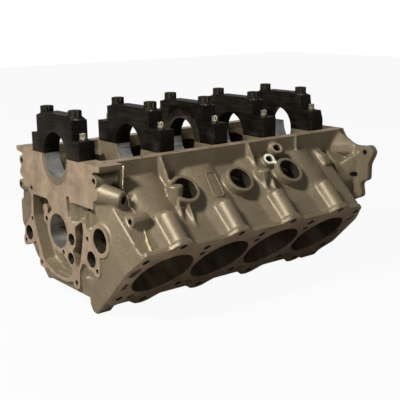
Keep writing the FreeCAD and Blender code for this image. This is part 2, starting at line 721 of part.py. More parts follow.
for thing in doc.Objects:
    if "Invalid" in thing.State or "Error" in thing.State:
        raise RuntimeError(f"{thing.Name} failed to build")
os.makedirs("parts", exist_ok=True)
for node in nodes:
    if node.Shape.isNull() or not node.Shape.isValid():
        raise RuntimeError(f"{node.Label} has no valid shape")
    node.Shape.exportStep(f"parts/{node.Label}.step")
    print(node.Label, len(node.Shape.Solids), "solid", round(node.Shape.Volume / 1000, 1), "cm3",
          len(node.Shape.Faces), "faces")
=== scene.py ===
import bpy
import bmesh
import math
import numpy as np
from mathutils import Matrix, Vector


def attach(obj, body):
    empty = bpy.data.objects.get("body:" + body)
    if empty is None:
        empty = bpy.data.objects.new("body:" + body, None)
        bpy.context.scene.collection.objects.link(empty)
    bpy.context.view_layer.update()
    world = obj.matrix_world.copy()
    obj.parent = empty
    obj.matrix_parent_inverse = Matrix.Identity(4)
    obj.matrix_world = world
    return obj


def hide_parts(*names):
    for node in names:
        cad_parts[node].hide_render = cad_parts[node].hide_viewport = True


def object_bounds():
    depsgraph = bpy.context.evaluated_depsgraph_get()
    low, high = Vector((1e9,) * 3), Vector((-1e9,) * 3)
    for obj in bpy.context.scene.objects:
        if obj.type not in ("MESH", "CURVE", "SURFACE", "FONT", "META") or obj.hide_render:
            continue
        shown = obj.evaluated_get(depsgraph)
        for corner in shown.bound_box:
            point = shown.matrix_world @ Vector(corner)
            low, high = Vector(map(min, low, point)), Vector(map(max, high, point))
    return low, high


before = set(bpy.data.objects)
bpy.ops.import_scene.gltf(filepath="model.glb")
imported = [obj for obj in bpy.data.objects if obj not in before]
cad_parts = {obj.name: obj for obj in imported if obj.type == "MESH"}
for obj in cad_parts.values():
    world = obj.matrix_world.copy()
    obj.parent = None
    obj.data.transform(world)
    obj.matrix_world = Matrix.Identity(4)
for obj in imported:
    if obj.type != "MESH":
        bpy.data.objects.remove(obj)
cad_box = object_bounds()


# ---------------------------------------------------------------- finishes
# Every finish is mixed from cloudy noise, even or stretched, on the part's own coordinates. A Sock
# wraps a node socket, so that the mixing can be written as plain arithmetic.
class Sock:
    """One output socket, with arithmetic on single values."""

    def __init__(self, finish, socket):
        self.finish, self.socket = finish, socket

    def calc(self, operation, *values, clamp=False):
        return self.finish.node("ShaderNodeMath", {"operation": operation, "use_clamp": clamp},
                                {n: value for n, value in enumerate(values)})

    def __add__(self, other):
        return self.calc("ADD", self, other)

    def __mul__(self, other):
        return self.calc("MULTIPLY", self, other)

    def step(self, low, high):
        """0 below low, 1 above high, straight between."""
        return self.calc("MULTIPLY_ADD", self, 1 / (high - low), -low / (high - low), clamp=True)


class Finish:
    """A material under construction."""

    def __init__(self, name, metallic=0.0, roughness=0.5):
        self.material = bpy.data.materials.new(name)
        self.material.use_nodes = True
        self.tree = self.material.node_tree
        self.shader = self.tree.nodes["Principled BSDF"]
        self.shader.inputs["Metallic"].default_value = metallic
        self.shader.inputs["Roughness"].default_value = roughness
        self.place = self.node("ShaderNodeTexCoord", {}, {}, "Object")

    def node(self, kind, settings, values, output=0):
        """Any node: its settings first, then the values or links of its sockets."""
        made = self.tree.nodes.new(kind)
        for name, value in settings.items():
            setattr(made, name, value)
        for name, value in values.items():
            if isinstance(value, Sock):
                self.tree.links.new(value.socket, made.inputs[name])
            else:
                made.inputs[name].default_value = value
        return Sock(self, made.outputs[output])

    def noise(self, size, detail, stretch=(1, 1, 1)):
        """Cloudy value about 0.5, with features of about size metres."""
        spot = self.place
        if stretch != (1, 1, 1):
            spot = self.node("ShaderNodeMapping", {}, {"Vector": self.place, "Scale": stretch})
        return self.node("ShaderNodeTexNoise", {}, {"Vector": spot, "Scale": 1 / size, "Detail": detail,
                                                    "Roughness": 0.55})

    def colour(self, share, low, high):
        """One colour where share is 0, another where it is 1."""
        return self.node("ShaderNodeMix", {"data_type": "RGBA"}, {0: share, 6: (*low, 1), 7: (*high, 1)}, 2)

    def bump(self, height, depth, strength=1.0):
        """Normal from a height of 0 to 1 that stands for depth metres."""
        return self.node("ShaderNodeBump", {}, {"Height": height, "Distance": depth, "Strength": strength})

    def done(self, **sockets):
        """Links the shader's sockets, with _ for a space in their names, and gives the material."""
        for name, value in sockets.items():
            self.tree.links.new(value.socket, self.shader.inputs[name.replace("_", " ")])
        return self.material


# ---------------------------------------------------------------- the casting
# One grey iron casting, shown upside down: sand-cast skin with soft edges and a fine grain, and
# every face, bore and hole that a cutter touched crisp. The CAD casting is copied, its machined
# stock is put back on, the skin is softened, and the same cuts are made again in its final shape.
PITCH = 0.12446
BORE = 0.1143
DECK = 0.268
STAGGER = 0.0296
MAIN_R, MAIN_SEAL_R = 0.0411, 0.058
CAM_R, CAM_DROP = 0.0315, 0.1367
FRONT, REAR, FLANGE = 0.294, 0.3185, 0.014
FIRST_MAIN, LAST_MAIN, CAP_THICK = -0.277, 0.258, 0.031
SEAT_DROP = 0.0015
MAINS = [FIRST_MAIN, -PITCH, 0.0, PITCH, LAST_MAIN]
CYLINDERS = [PITCH * (k - 1.5) for k in range(4)]
GAPS = [PITCH * (k - 2) for k in range(5)]
BANKS = (-1, 1)
R2 = math.sqrt(0.5)
STOCK = 0.004


def bank_place(bank, x=0.0, v=0.0, w=0.0):
    """Place in one bank: its x along the crankshaft, y outwards, z from the crankshaft to the deck."""
    turn = Matrix(((1, 0, 0), (0, bank * R2, bank * R2), (0, R2, -R2))).to_4x4()
    return Matrix.Translation((bank * STAGGER / 2, 0, 0)) @ turn @ Matrix.Translation((x, v, w))


def facing(axis, start):
    """Place whose z runs along axis from start."""
    return Matrix.Translation(start) @ Vector(axis).to_track_quat("Z", "Y").to_matrix().to_4x4()


def mesh_object(name, points, faces, place=Matrix()):
    """Mesh object from an array of points and a list of faces, with place worked into its mesh."""
    mesh = bpy.data.meshes.new(name)
    mesh.from_pydata(np.asarray(points, float).tolist(), [], faces)
    mesh.transform(place)
    if place.to_3x3().determinant() < 0:
        mesh.flip_normals()
    thing = bpy.data.objects.new(name, mesh)
    bpy.context.scene.collection.objects.link(thing)
    return thing


def turned(name, profile, place=Matrix(), sides=48, reach=None):
    """Solid of revolution: each (radius, height) of the profile is carried round z.

    reach, if given, is a function of the angle that scales the radius, for flats and points.
    """
    radius, height = np.array(profile, float).T
    angle = np.arange(sides) * 2 * np.pi / sides
    scale = np.ones((len(radius), sides)) if reach is None else reach(angle, len(radius))
    ring = radius[:, None] * scale
    points = np.stack([ring * np.cos(angle), ring * np.sin(angle), np.repeat(height[:, None], sides, 1)], 2)
    row, side = np.meshgrid(np.arange(len(radius) - 1), np.arange(sides), indexing="ij")
    after = (side + 1) % sides
    quads = np.stack([row * sides + side, row * sides + after, (row + 1) * sides + after,
                      (row + 1) * sides + side], 2).reshape(-1, 4)
    first, last = np.arange(sides), np.arange(sides) + (len(radius) - 1) * sides
    faces = quads.tolist() + [first[::-1].tolist(), last.tolist()]
    return mesh_object(name, points.reshape(-1, 3), faces, place)


def slab(name, low, high, place=Matrix()):
    """A block from its low to its high corner."""
    corner = np.array([(x, y, z) for z in (0, 1) for y in (0, 1) for x in (0, 1)])
    points = np.array(low) + corner * (np.array(high) - np.array(low))
    faces = [(0, 2, 3, 1), (4, 5, 7, 6), (0, 1, 5, 4), (2, 6, 7, 3), (0, 4, 6, 2), (1, 3, 7, 5)]
    return mesh_object(name, points, faces, place)


def joined(name, things):
    """Several mesh objects as one."""
    work = bmesh.new()
    for thing in things:
        work.from_mesh(thing.data)
        bpy.data.objects.remove(thing)
    mesh = bpy.data.meshes.new(name)
    work.to_mesh(mesh)
    work.free()
    whole = bpy.data.objects.new(name, mesh)
    bpy.context.scene.collection.objects.link(whole)
    return whole


def baked(thing):
    """Turns an object's modifiers into its mesh."""
    bpy.context.view_layer.update()
    graph = bpy.context.evaluated_depsgraph_get()
    mesh = bpy.data.meshes.new_from_object(thing.evaluated_get(graph))
    thing.modifiers.clear()
    thing.data = mesh
    return thing


def machined(thing, cutters, finish, operation="DIFFERENCE"):
    """Cuts (or adds) the cutters, whose faces bring their own finish."""
    cutter = joined("cutter", cutters)
    cutter.data.materials.clear()
    cutter.data.materials.append(finish)
    step = thing.modifiers.new("cut", "BOOLEAN")
    step.operation, step.solver, step.object = operation, "MANIFOLD", cutter
    step.material_mode = "TRANSFER"
    baked(thing)
    bpy.data.objects.remove(cutter)
    return thing


def hole(place, radius, low, high, chamfer=0.0008, sides=32):
    """Cutter of one drilled hole, open upwards, with a small chamfer at its mouth z = high."""
    return turned("hole", [(radius, low), (radius, high - chamfer), (radius + chamfer, high),
                           (radius + chamfer, high + STOCK + 0.001)], place, sides)


# Round cuts as (place, radius, from, to), the last two along the place's z, in metres.
cylinder_cuts = [(bank_place(bank, x), BORE / 2, 0.084, DECK) for bank in BANKS for x in CYLINDERS]
head_spots = [(x, 0.086) for x in CYLINDERS] + [(x, -0.088) for x in CYLINDERS]
head_spots += [(x, 0.062) for x in GAPS[1:]] + [(x, -0.060) for x in GAPS] + [(GAPS[0], 0.060)]
head_cuts = [(bank_place(bank, x, v), 0.006, DECK - 0.045, DECK) for bank in BANKS for x, v in head_spots]
head_cuts += [(bank_place(bank, x, 0.0425), 0.005, DECK - 0.022, DECK) for bank in BANKS for x in GAPS[1:4]]
plug_cuts = [(bank_place(bank, x, 0, 0.162) @ facing((0, 1, 0), (0, 0, 0)), 0.0215, 0.040, 0.088)
             for bank in BANKS for x in GAPS[1:4]]
AHEAD = (-1, 0, 0)
front_cuts = [(facing(AHEAD, (0, -right, up)), radius, FRONT - depth, FRONT) for right, up, radius, depth in (
    (0.142, -0.125, 0.0205, 0.044), (0.112, -0.164, 0.0135, 0.044), (-0.117, -0.164, 0.0135, 0.044),
    (0.130, -0.181, 0.0035, 0.02), (-0.133, -0.182, 0.0035, 0.02), (0.101, -0.130, 0.0035, 0.02),
    (0.098, -0.080, 0.0035, 0.02), (0.057, -0.220, 0.004, 0.02), (-0.072, -0.212, 0.0035, 0.02),
    (-0.101, -0.133, 0.0035, 0.02), (-0.097, -0.074, 0.0035, 0.02), (-0.043, -0.122, 0.004, 0.02),
    (0.015, -0.173, 0.0035, 0.02), (0.046, -0.143, 0.010, 0.012), (0.041, -0.179, 0.010, 0.012),
    (0.131, -0.026, 0.0045, 0.02), (-0.131, -0.026, 0.0045, 0.02))]
line_cuts = [(facing((1, 0, 0), (0, 0, 0)), MAIN_R, -FRONT, REAR),
             (facing((1, 0, 0), (0, 0, -CAM_DROP)), CAM_R, -FRONT, REAR)]
BOSS_WAY = Vector((-0.15, -0.72, 0.68)).normalized()
boss_cuts = [(facing(BOSS_WAY, (0.089, -0.1097, -0.0697)), 0.006, 0.020, 0.0555),
             (facing(BOSS_WAY, (0.117, -0.1083, -0.045)), 0.007, 0.020, 0.0435)]
LUG_LONG = 0.057
CORNER_BOSS_END = 0.268


def lug_place(bank):
    """Where the front corner's tapered lug starts, with z along it."""
    return facing((0.395, bank * 0.90, -0.17), (-0.2845, bank * 0.118, -0.046))


def corner_boss_place(bank):
    """The axis of the small boss below the lug."""
    return facing(AHEAD, (0, bank * 0.1955, -0.086))


for bank in BANKS:
    boss_cuts += [(lug_place(bank), 0.0072, LUG_LONG - 0.026, LUG_LONG),
                  (corner_boss_place(bank), 0.005, CORNER_BOSS_END - 0.018, CORNER_BOSS_END)]
seal_cut = (facing((1, 0, 0), (0, 0, 0)), MAIN_SEAL_R, LAST_MAIN + CAP_THICK / 2, REAR)


def with_stock():
    """The CAD casting, merged, with its machined planes grown and its bores closed in by some stock."""
    skin = bpy.data.objects.new("cast_skin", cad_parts["block_casting"].data.copy())
    bpy.context.scene.collection.objects.link(skin)
    work = bmesh.new()
    work.from_mesh(skin.data)
    bmesh.ops.remove_doubles(work, verts=work.verts, dist=1e-6)
    work.to_mesh(skin.data)
    work.free()
    points = np.empty(len(skin.data.vertices) * 3)
    skin.data.vertices.foreach_get("co", points)
    points = points.reshape(-1, 3)
    grown = points.copy()
    round_cuts = cylinder_cuts + head_cuts + plug_cuts + front_cuts + line_cuts + [seal_cut] + boss_cuts
    for place, radius, low, high in round_cuts:
        # points on the cut's own cylinder move towards its axis
        local = (points - np.array(place.translation)) @ np.array(place.to_3x3())
        away = np.hypot(local[:, 0], local[:, 1])
        on = (abs(away - radius) < 4e-5) & (local[:, 2] > low - 1e-4) & (local[:, 2] < high + 1e-4)
        keep = 1 - min(STOCK / 4, 0.9 * radius) / radius
        inward = local[on].copy()
        inward[:, :2] *= keep
        grown[on] = inward @ np.array(place.to_3x3()).T + np.array(place.translation)
    faces_out = [((-1, 0, 0), FRONT), ((1, 0, 0), REAR), ((0, 0, 1), 0.0), ((0, 0, 1), -SEAT_DROP)]
    faces_out += [((0, bank * R2, -R2), DECK) for bank in BANKS]
    for normal, distance in faces_out:
        on = abs(points @ np.array(normal) - distance) < 2e-5
        grown[on] += np.array(normal) * STOCK
    skin.data.vertices.foreach_set("co", grown.ravel())
    skin.data.materials.clear()
    return skin


def wedge(name, corners, bank):
    """Solid stretched over some corners, given for the forward bank and mirrored for the other."""
    thing = mesh_object(name, np.array(corners) * (1, -bank, 1), [])
    work = bmesh.new()
    work.from_mesh(thing.data)
    made = bmesh.ops.convex_hull(work, input=work.verts)
    spare = {item for item in made["geom_interior"] + made["geom_unused"]
             if isinstance(item, bmesh.types.BMVert)}
    bmesh.ops.delete(work, geom=list(spare), context="VERTS")
    bmesh.ops.recalc_face_normals(work, faces=work.faces)
    work.to_mesh(thing.data)
    work.free()
    return thing


def rear_braces(bank):
    """Braces from the bank's rear corner and the rail to one ear of the clutch flange."""
    back = REAR - FLANGE + 0.004
    gusset = wedge("gusset", [(0.268, -0.150, -0.070), (0.268, -0.148, -0.078), (back, -0.182, -0.036),
                              (back, -0.176, -0.062), (back, -0.169, -0.114), (0.284, -0.158, -0.104),
                              (back, -0.130, -0.060), (back, -0.130, -0.110)], bank)
    fan = wedge("fan", [(0.270, -0.124, -0.030), (0.296, -0.124, -0.002), (back, -0.134, -0.010),
                        (back, -0.166, -0.027), (back, -0.170, -0.046), (0.285, -0.124, -0.060),
                        (0.270, -0.126, -0.044), (back, -0.120, -0.060)], bank)
    return [gusset, fan]


def corner_lugs(bank):
    """At the front corner of a bank: a long tapered lug and a small boss, both to be drilled."""
    lug = turned("lug", [(0.012, -0.012), (0.0185, 0.012), (0.0145, LUG_LONG - 0.002), (0.013, LUG_LONG)],
                 lug_place(bank), 40)
    end = CORNER_BOSS_END
    boss = turned("corner_boss", [(0.0105, end - 0.034), (0.0105, end - 0.001), (0.0095, end)],
                  corner_boss_place(bank), 32)
    return [lug, boss]


def sand_cast(skin, voxel=0.0021, relaxed=7, share=0.125):
    """Rounds every cast edge and corner: a fine voxel skin, relaxed, then thinned to fewer faces."""
    step = skin.modifiers.new("skin", "REMESH")
    step.mode, step.voxel_size = "VOXEL", voxel
    step = skin.modifiers.new("relax", "SMOOTH")
    step.factor, step.iterations = 0.5, relaxed
    step = skin.modifiers.new("thin", "DECIMATE")
    step.ratio = share
    return baked(skin)


def cast_iron():
    """Grey iron skin: warm grey-brown and mottled, with sand grain."""
    finish = Finish("cast_iron", 0.35, 0.5)
    grain = finish.noise(0.0011, 3.0)
    speck = finish.noise(0.0032, 3.0)
    cloud = finish.noise(0.045, 5.0)
    tone = (grain.step(0.3, 0.75) * 0.35 + speck.step(0.3, 0.7) * 0.3 + cloud.step(0.25, 0.75) * 0.35)
    return finish.done(Base_Color=finish.colour(tone, (0.070, 0.056, 0.036), (0.215, 0.175, 0.117)),
                       Roughness=speck * 0.25 + cloud * 0.12 + 0.33,
                       Normal=finish.bump(grain * 0.6 + speck * 0.4, 0.0005, 0.6))


def milled_iron():
    """Face-milled iron: light pinkish brown, with faint lines of the cutter and a few stains."""
    finish = Finish("milled_iron", 0.55, 0.42)
    marks = finish.noise(0.0016, 2.0, (1, 0.12, 0.12))
    stain = finish.noise(0.03, 5.0)
    tone = marks.step(0.3, 0.7) * 0.4 + stain.step(0.3, 0.7) * 0.6
    return finish.done(Base_Color=finish.colour(tone, (0.21, 0.155, 0.108), (0.40, 0.31, 0.23)),
                       Roughness=stain * 0.3 + 0.28, Normal=finish.bump(marks, 0.0001, 0.35))


def honed_iron():
    """Honed cylinder wall: dark and glossy, with fine scratches."""
    finish = Finish("honed_iron", 0.85, 0.3)
    scratch = finish.noise(0.0009, 2.0, (0.25, 1, 1))
    smear = finish.noise(0.02, 4.0, (1, 0.3, 0.3))
    shade = finish.colour(smear.step(0.3, 0.7), (0.10, 0.08, 0.056), (0.26, 0.21, 0.15))
    return finish.done(Base_Color=shade, Roughness=smear * 0.2 + 0.22,
                       Normal=finish.bump(scratch, 0.00006, 0.4))


def bored_iron():
    """Line-bored saddles: bluish silver with rings of the boring tool."""
    finish = Finish("bored_iron", 0.9, 0.3)
    rings = finish.noise(0.0008, 2.0, (1, 0.05, 0.05))
    smear = finish.noise(0.02, 3.0)
    shade = finish.colour(smear.step(0.3, 0.7), (0.34, 0.33, 0.31), (0.55, 0.55, 0.54))
    return finish.done(Base_Color=shade, Roughness=smear * 0.2 + 0.2, Normal=finish.bump(rings, 0.00008, 0.4))


def drilled_iron_painted_shade():
    """Walls of drilled holes and plug seats: near black with a faint random mottle, the darkness being
    painted shade inside the holes.
    """
    finish = Finish("drilled_iron_painted_shade", 0.5, 0.5)
    smear = finish.noise(0.006, 3.0)
    # near-black colour: painted shade in the hollows of the holes, mottled at random
    shade = finish.colour(smear.step(0.3, 0.7), (0.012, 0.009, 0.006), (0.045, 0.035, 0.024))
    return finish.done(Base_Color=shade)


def mount_columns(bank):
    """The two engine mount columns that stand clear of the wall, flat on top."""
    shift = STAGGER if bank > 0 else 0
    profile = [(0.007, -0.112), (0.0105, -0.085), (0.0128, -0.060), (0.0135, -0.047), (0.0122, -0.045)]
    return [turned("column", profile, Matrix.Translation((x + shift, bank * y, 0)), 32)
            for x, y in ((-0.1605, 0.174), (0.045, 0.171))]


def wall_height(x, w):
    """Outer wall of a bank: its distance v from the bank's middle plane, a slope with four barrels on it.

    Each barrel is a circle in x and v round its cylinder's axis, and v is the root of the barrel's
    radius squared less the distance along x squared. The radius grows evenly from foot to deck.
    """
    slope_foot, barrel_foot = 0.108, 0.114
    v = 0.064 + (np.maximum(w, slope_foot) - slope_foot) * 0.011 / (DECK - slope_foot)
    barrel = 0.0755 + (w - barrel_foot) / (DECK - barrel_foot) * 0.0075
    for middle in CYLINDERS:
        bulge = np.sqrt(np.maximum(barrel ** 2 - (x - middle) ** 2, 0)) * (w > barrel_foot)
        v = np.maximum(v, bulge)
    return v


def on_wall(x, w, lift=0.0):
    """Points of the forward bank's outer wall, in the block's own frame."""
    local = np.column_stack([x, wall_height(x, w) + lift, w])
    place = bank_place(-1)
    return local @ np.array(place.to_3x3()).T + np.array(place.translation)


def bead(name, path, radius, closed=False, sides=8):
    """A round bead along a path of points: a ring of the given radius is carried along it."""
    ahead = np.roll(path, -1, 0) - np.roll(path, 1, 0)
    if not closed:
        ahead[0], ahead[-1] = path[1] - path[0], path[-1] - path[-2]
    ahead /= np.linalg.norm(ahead, axis=1)[:, None]
    across = np.cross(ahead, (0, -R2, R2))
    across /= np.linalg.norm(across, axis=1)[:, None]
    out = np.cross(across, ahead)
    angle = np.arange(sides) * 2 * np.pi / sides
    size = np.broadcast_to(radius, len(path))[:, None, None]
    points = path[:, None] + size * (np.cos(angle)[None, :, None] * across[:, None]
                                     + np.sin(angle)[None, :, None] * out[:, None])
    count = len(path)
    row, side = np.meshgrid(np.arange(count if closed else count - 1), np.arange(sides), indexing="ij")
    after, below = (side + 1) % sides, (row + 1) % count
    here, there = row * sides, below * sides
    faces = np.stack([here + side, here + after, there + after, there + side], 2).reshape(-1, 4).tolist()
    if not closed:
        faces += [list(range(sides))[::-1], list(range((count - 1) * sides, count * sides))]
    thing = mesh_object(name, points.reshape(-1, 3), faces)
    work = bmesh.new()
    work.from_mesh(thing.data)
    bmesh.ops.recalc_face_normals(work, faces=work.faces)
    work.to_mesh(thing.data)
    work.free()
    return thing


def bare_frame():
    """A slanted frame with round corners, cast on the wall, with nothing in it."""
    half_long, half_wide, lean, roundness = 0.027, 0.0122, 0.18, 0.4
    middle_x, middle_w = -0.0518, 0.1585
    turn = np.linspace(0, 2 * np.pi, 72, endpoint=False)
    # the sine and cosine of a circle, each to a power under 1, give a rectangle with round corners
    along = np.sign(np.sin(turn)) * abs(np.sin(turn)) ** roundness * half_long
    across = np.sign(np.cos(turn)) * abs(np.cos(turn)) ** roundness * half_wide
    return bead("frame_rim", on_wall(middle_x + across - along * lean, middle_w + along), 0.0013, True)


def parting_flash():
    """Ragged metal left where two moulds met, run down the front corner of the forward bank."""
    w = np.linspace(0.100, 0.2665, 150)
    turns_w = np.array([0.100, 0.129, 0.146, 0.165, 0.188, 0.225, 0.244, 0.267])
    turns_x = np.array([-0.2210, -0.2330, -0.2270, -0.2340, -0.2270, -0.2335, -0.2390, -0.2410])
    ragged = np.random.default_rng(7)
    x = np.interp(w, turns_w, turns_x) + ragged.normal(0, 0.00045, len(w))
    thick = 0.0009 + 0.0009 * abs(np.sin(w * 190)) * ragged.random(len(w)) + 0.0012 * (w > 0.232)
    run = bead("flash", on_wall(x, w, 0.0004), thick)
    drop = np.linspace(0, 1, 40)[:, None]
    top, foot = np.array((-0.2485, -0.1515, -0.003)), np.array((-0.2485, -0.1465, -0.043))
    corner = top * (1 - drop) + foot * drop
    corner += ragged.normal(0, 0.0003, corner.shape)
    return [run, bead("ear_flash", corner, 0.0009 + 0.0008 * ragged.random(40))]


def fresh_iron():
    """Iron broken or ground bright along the parting line."""
    finish = Finish("fresh_iron", 0.6, 0.35)
    speck = finish.noise(0.002, 3.0)
    shade = finish.colour(speck.step(0.35, 0.65), (0.42, 0.33, 0.20), (0.80, 0.70, 0.50))
    return finish.done(Base_Color=shade, Normal=finish.bump(speck, 0.0006, 0.8))


def pale_iron():
    """The one boss face dabbed with pale green marking paint."""
    finish = Finish("pale_iron", 0.1, 0.45)
    dab = finish.noise(0.006, 4.0)
    shade = finish.colour(dab.step(0.35, 0.6), (0.30, 0.34, 0.25), (0.66, 0.74, 0.62))
    return finish.done(Base_Color=shade)


ear_cuts = [(facing(AHEAD, (0, bank * y, z)), 0.0055, -REAR, FLANGE - REAR)
            for bank in BANKS for y, z in ((0.1924, -0.0408), (0.1699, -0.0889))]
skin = with_stock()
iron = cast_iron()
skin.data.materials.append(iron)
for bank in BANKS:
    near, far = sorted((bank * 0.046, bank * 0.126))
    front_wall = slab("front_wall", (-FRONT - STOCK, near, -0.075), (-FRONT + 0.022, far, STOCK))
    for brace in rear_braces(bank) + corner_lugs(bank) + [front_wall]:
        machined(skin, [brace], iron, "UNION")
casting = sand_cast(skin)
casting.name = casting.data.name = "engine_block_casting"
milled, drilled, bored = milled_iron(), drilled_iron_painted_shade(), bored_iron()
FAR = 0.4
planes = [slab("front_plane", (-FRONT - 0.03, -FAR, -FAR), (-FRONT, FAR, FAR)),
          slab("rear_plane", (REAR, -FAR, -FAR), (REAR + 0.03, FAR, FAR)),
          slab("rail_plane", (-FAR, -FAR, 0.0), (FAR, FAR, 0.05))]
planes += [slab("deck_plane", (-FAR, -0.2, DECK), (FAR, 0.2, DECK + 0.03), bank_place(bank))
           for bank in BANKS]
for plane in planes:
    machined(casting, [plane], milled)
machined(casting, [turned("bulkhead_relief", [(0.047, -FRONT - 0.01), (0.047, -FRONT + 0.0006)],
                          facing((1, 0, 0), (0, 0, -0.006)), 64)], iron)
seats = []
for number, place in enumerate(MAINS):
    reach = 0.0855 if number == 0 else 0.1045
    ahead = 0.020 if number == 0 else 0.0005
    seats.append(slab("seat", (place - CAP_THICK / 2 - ahead, -reach, -SEAT_DROP),
                      (place + CAP_THICK / 2 + 0.0005, reach, 0.01)))
machined(casting, seats, milled)
machined(casting, [hole(place, radius, low, high, 0.0012, 96) for place, radius, low, high in cylinder_cuts],
         honed_iron())
for place, radius, low, high in line_cuts + [seal_cut]:
    start = low if radius == MAIN_SEAL_R else low - 0.01
    machined(casting, [turned("line", [(radius, start), (radius, high + 0.01)], place, 96)], bored)
machined(casting, [hole(*cut, sides=48) for cut in plug_cuts], drilled)
for bank in BANKS:
    machined(casting, mount_columns(bank), iron, "UNION")
machined(casting, [bare_frame()], iron, "UNION")
BOSS_FACE_R = 0.0145
for (place, _, _, high), finish in zip(boss_cuts, (pale_iron(), milled)):
    faced = [(BOSS_FACE_R, high), (BOSS_FACE_R, high + 0.02)]
    machined(casting, [turned("boss_face", faced, place, 48)], finish)
for place, radius, low, high in boss_cuts:
    machined(casting, [turned("boss_hole", [(radius, low), (radius, high + 0.02)], place, 32)], drilled)
fresh = fresh_iron()
for run in parting_flash():
    machined(casting, [run], fresh, "UNION")
for place, radius, low, high in ear_cuts:
    through = [(radius, low - 0.005), (radius, high + 0.03)]
    machined(casting, [turned("ear_hole", through, place, 24)], drilled)
machined(casting, [hole(*cut) for cut in head_cuts], drilled)
machined(casting, [hole(*cut, sides=40) for cut in front_cuts], drilled)
casting.data.shade_smooth()
casting.data.set_sharp_from_angle(angle=math.radians(34))
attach(casting, "root")
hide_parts("block_casting")


# ---------------------------------------------------------------- main bearing caps
# Five caps sawn and milled from steel bar, blacked, with their edges broken, and spot faced for the
# inner bolts. The bore is in line with the casting's saddles. Two thick and two thin bolts hold each.
def blacked_steel():
    """Black oxide over milling marks: near black, with a painted sheen: slanting streaks that lighten the
    colour.
    """
    finish = Finish("blacked_steel", 0.3, 0.35)
    finish.shader.inputs["Specular IOR Level"].default_value = 0.15
    marks = finish.noise(0.0009, 2.0, (1, 0.06, 0.06))
    cloud = finish.noise(0.03, 4.0)
    slant = finish.node("ShaderNodeMapping", {}, {"Vector": finish.place, "Rotation": (0.8, 0, 0),
                                                  "Scale": (1, 0.08, 1)})
    # slanted, stretched noise that lightens the colour in diagonal streaks: a painted sheen
    painted_sheen_streak = finish.node("ShaderNodeTexNoise", {}, {"Vector": slant, "Scale": 260, "Detail": 2.0})
    # half of the colour range follows random cloudy mottling, the other half the painted sheen
    shade = finish.colour(cloud.step(0.35, 0.75) * 0.5 + painted_sheen_streak.step(0.4, 0.7) * 0.5,
                          (0.0015, 0.0013, 0.001), (0.017, 0.014, 0.010))
    return finish.done(Base_Color=shade, Roughness=cloud * 0.25 + marks * 0.12 + 0.18,
                       Normal=finish.bump(marks, 0.0001, 0.4))


def crisp_copy(node, name, edge):
    """A CAD node merged into flat faces, with its edges broken by a small bevel."""
    thing = bpy.data.objects.new(name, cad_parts[node].data.copy())
    bpy.context.scene.collection.objects.link(thing)
    work = bmesh.new()
    work.from_mesh(thing.data)
    bmesh.ops.remove_doubles(work, verts=work.verts, dist=1e-6)
    bmesh.ops.dissolve_limit(work, angle_limit=math.radians(1), verts=work.verts, edges=work.edges)
    work.to_mesh(thing.data)
    work.free()
    thing.data.materials.clear()
    bevel = thing.modifiers.new("broken_edge", "BEVEL")
    bevel.width, bevel.segments, bevel.limit_method, bevel.angle_limit = edge, 2, "ANGLE", math.radians(40)
    baked(thing)
    thing.data.shade_smooth()
    thing.data.set_sharp_from_angle(angle=math.radians(30))
    return thing


def thrust_steel():
    """The centre cap's thrust face: turned after blacking, so its rings show lighter steel."""
    finish = Finish("thrust_steel", 0.7, 0.3)
    cloud = finish.noise(0.012, 3.0)
    shade = finish.colour(cloud.step(0.3, 0.7), (0.03, 0.026, 0.02), (0.10, 0.085, 0.065))
    return finish.done(Base_Color=shade)


def inner_seat(number):
    """Height of the inner bolts' seats on a cap, and their distance from the crankshaft's plane."""
    return (0.066, 0.050) if number == 1 else (0.069, 0.054)


black, thrust = blacked_steel(), thrust_steel()
THRUST_R, SPOT_R = 0.0585, 0.0137
for number in range(1, 6):
    cap = crisp_copy(f"main_cap_{number}", f"bearing_cap_{number}", 0.0007)
    cap.data.materials.append(black)
    if number == 3:
        front = -CAP_THICK / 2
        machined(cap, [turned("thrust_face", [(THRUST_R, front - 0.01), (THRUST_R, front + 0.0006)],
                              facing((1, 0, 0), (0, 0, 0)), 96)], thrust)
    for bank in BANKS:
        seat, across = inner_seat(number)
        spot = Matrix.Translation((MAINS[number - 1], bank * across, 0))
        machined(cap, [turned("spot_face", [(SPOT_R, seat), (SPOT_R, seat + 0.012)], spot, 48)], black)
    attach(cap, "root")
    cap.data.shade_smooth()
    cap.data.set_sharp_from_angle(angle=math.radians(30))
    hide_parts(f"main_cap_{number}")


# ---------------------------------------------------------------- cap bolts and washers
# Forged bolts with twelve-point heads on hard flat washers: thick inner ones, black and oiled,
# and thin outer ones of plain steel.
def bolt_steel(name, dark, light, roughness):
    """Bare or blacked steel with a thin, uneven film of oil."""
    finish = Finish(name, 0.85, roughness)
    smear = finish.noise(0.004, 3.0)
    shade = finish.colour(smear.step(0.3, 0.7), dark, light)
    return finish.done(Base_Color=shade, Roughness=smear * 0.2 + roughness)


bolt_finishes = {"inner": bolt_steel("black_bolt", (0.012, 0.010, 0.008), (0.04, 0.034, 0.027), 0.34),
                 "outer": bolt_steel("bright_bolt", (0.16, 0.14, 0.11), (0.34, 0.31, 0.26), 0.32)}
washer_finish = bolt_steel("washer_steel", (0.05, 0.045, 0.04), (0.13, 0.12, 0.10), 0.3)


def twelve_points(angle, rows):
    """Radius of two hexagons laid over each other, on the rows that make the head's upper part."""
    hexes = [1 / np.cos((angle + turn) % (np.pi / 3) - np.pi / 6) for turn in (0, np.pi / 6)]
    star = np.maximum(*hexes) * math.cos(math.pi / 6)
    return np.array([star if row in (5, 6) else np.ones(len(angle)) for row in range(rows)])


